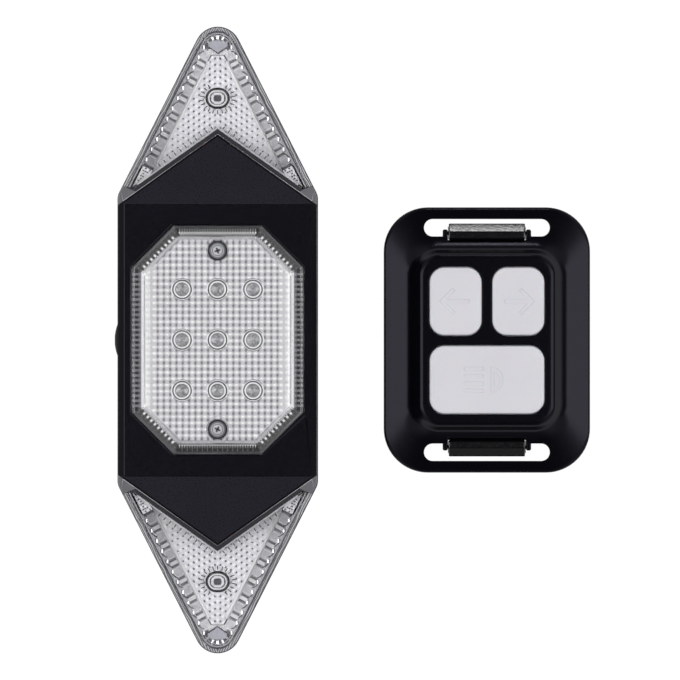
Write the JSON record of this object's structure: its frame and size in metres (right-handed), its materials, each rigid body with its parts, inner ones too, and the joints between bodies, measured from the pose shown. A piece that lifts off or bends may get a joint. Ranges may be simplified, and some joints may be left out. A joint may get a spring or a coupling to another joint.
{
  "type": "bicycle turn signal light",
  "caption": "Bicycle turn signal light with clear arrow-shaped ends and a diode field in the middle, beside its handlebar remote with pressable buttons and strap hooks.",
  "frame": {"origin": "mouth of the threaded insert, at the centre of the light's flat back; the light and the remote lie face up on the plane z = 0", "axes": "+Z out of the front face, +Y along the light towards its upper end, +X towards the remote"},
  "size_m": [0.1289, 0.17, 0.027],
  "materials": {
    "black_shell": "fine matte moulded ABS",
    "black_cover": "fine matte moulded ABS",
    "clear_lens": "clear polycarbonate with prisms",
    "white_reflector": "bright moulded reflector",
    "board_white": "white solder mask",
    "board_green": "green solder mask",
    "diode": "clear epoxy over a pale chip",
    "screw_steel": "zinc plated",
    "brass": "machined",
    "rubber_black": "moulded silicone rubber",
    "rubber_grey": "moulded silicone rubber",
    "button_grey": "satin light grey",
    "metal_can": "tinned",
    "foil": "foil pouch",
    "lead_red": "PVC insulation",
    "lead_black": "PVC insulation",
    "hook_black": "glossy moulded nylon"
  },
  "bodies": {
    "light": {"rear_housing": "black_shell", "front_housing": "black_shell", "housing_seal": "rubber_grey", "housing_screws": "screw_steel", "bracket_insert": "brass", "end_lens_upper": "clear_lens", "end_lens_lower": "clear_lens", "end_reflector_upper": "white_reflector", "end_reflector_lower": "white_reflector", "end_board_upper": "board_white", "end_board_lower": "board_white", "end_leds_upper": "diode", "end_leds_lower": "diode", "end_lens_screws": "screw_steel", "centre_lens": "clear_lens", "centre_lens_seal": "rubber_grey", "centre_lens_screws": "screw_steel", "centre_reflector": "white_reflector", "centre_leds": "diode", "main_board": "board_green", "radio_module": "metal_can", "battery_cell": "foil", "red_leads": "lead_red", "black_leads": "lead_black", "charging_port": "metal_can", "power_switch": "metal_can"},
    "port_cover_body": {"port_cover": "rubber_black"},
    "power_button_body": {"power_button": "rubber_black"},
    "remote": {"remote_front_shell": "black_shell", "remote_rear_cover": "black_cover", "remote_seal": "rubber_grey", "remote_screws": "screw_steel", "saddle_pad": "rubber_black", "keypad_web": "rubber_grey", "remote_board": "board_green", "remote_switches": "metal_can", "remote_chip": "black_cover", "coin_cell": "screw_steel", "cell_clip": "screw_steel", "hook_pins": "screw_steel"},
    "left_button_body": {"left_button": "button_grey"},
    "right_button_body": {"right_button": "button_grey"},
    "mode_button_body": {"mode_button": "button_grey"},
    "strap_hook_upper_body": {"strap_hook_upper": "hook_black"},
    "strap_hook_lower_body": {"strap_hook_lower": "hook_black"}
  },
  "joints": [
    {"name": "port_cover_pull", "type": "slide", "parent": "light", "child": "port_cover_body", "axis": [1, 0, 0], "range_m": [0, 0.006]},
    {"name": "power_press", "type": "slide", "parent": "light", "child": "power_button_body", "axis": [1, 0, 0], "range_m": [0, 0.0005], "stiffness_N_per_m": 300},
    {"name": "remote_lift", "type": "slide", "parent": "light", "child": "remote", "axis": [0, 0, 1], "range_m": [0, 0.1]},
    {"name": "left_press", "type": "slide", "parent": "remote", "child": "left_button_body", "axis": [0, 0, -1], "range_m": [0, 0.0005], "stiffness_N_per_m": 300},
    {"name": "right_press", "type": "slide", "parent": "remote", "child": "right_button_body", "axis": [0, 0, -1], "range_m": [0, 0.0005], "stiffness_N_per_m": 300},
    {"name": "mode_press", "type": "slide", "parent": "remote", "child": "mode_button_body", "axis": [0, 0, -1], "range_m": [0, 0.0005], "stiffness_N_per_m": 300},
    {"name": "hook_swing_upper", "type": "hinge", "parent": "remote", "child": "strap_hook_upper_body", "pos_m": [0.073, 0.029, 0.0083], "axis": [1, 0, 0], "range_deg": [-12, 20]},
    {"name": "hook_swing_lower", "type": "hinge", "parent": "remote", "child": "strap_hook_lower_body", "pos_m": [0.073, -0.029, 0.0083], "axis": [-1, 0, 0], "range_deg": [-12, 20]}
  ]
}
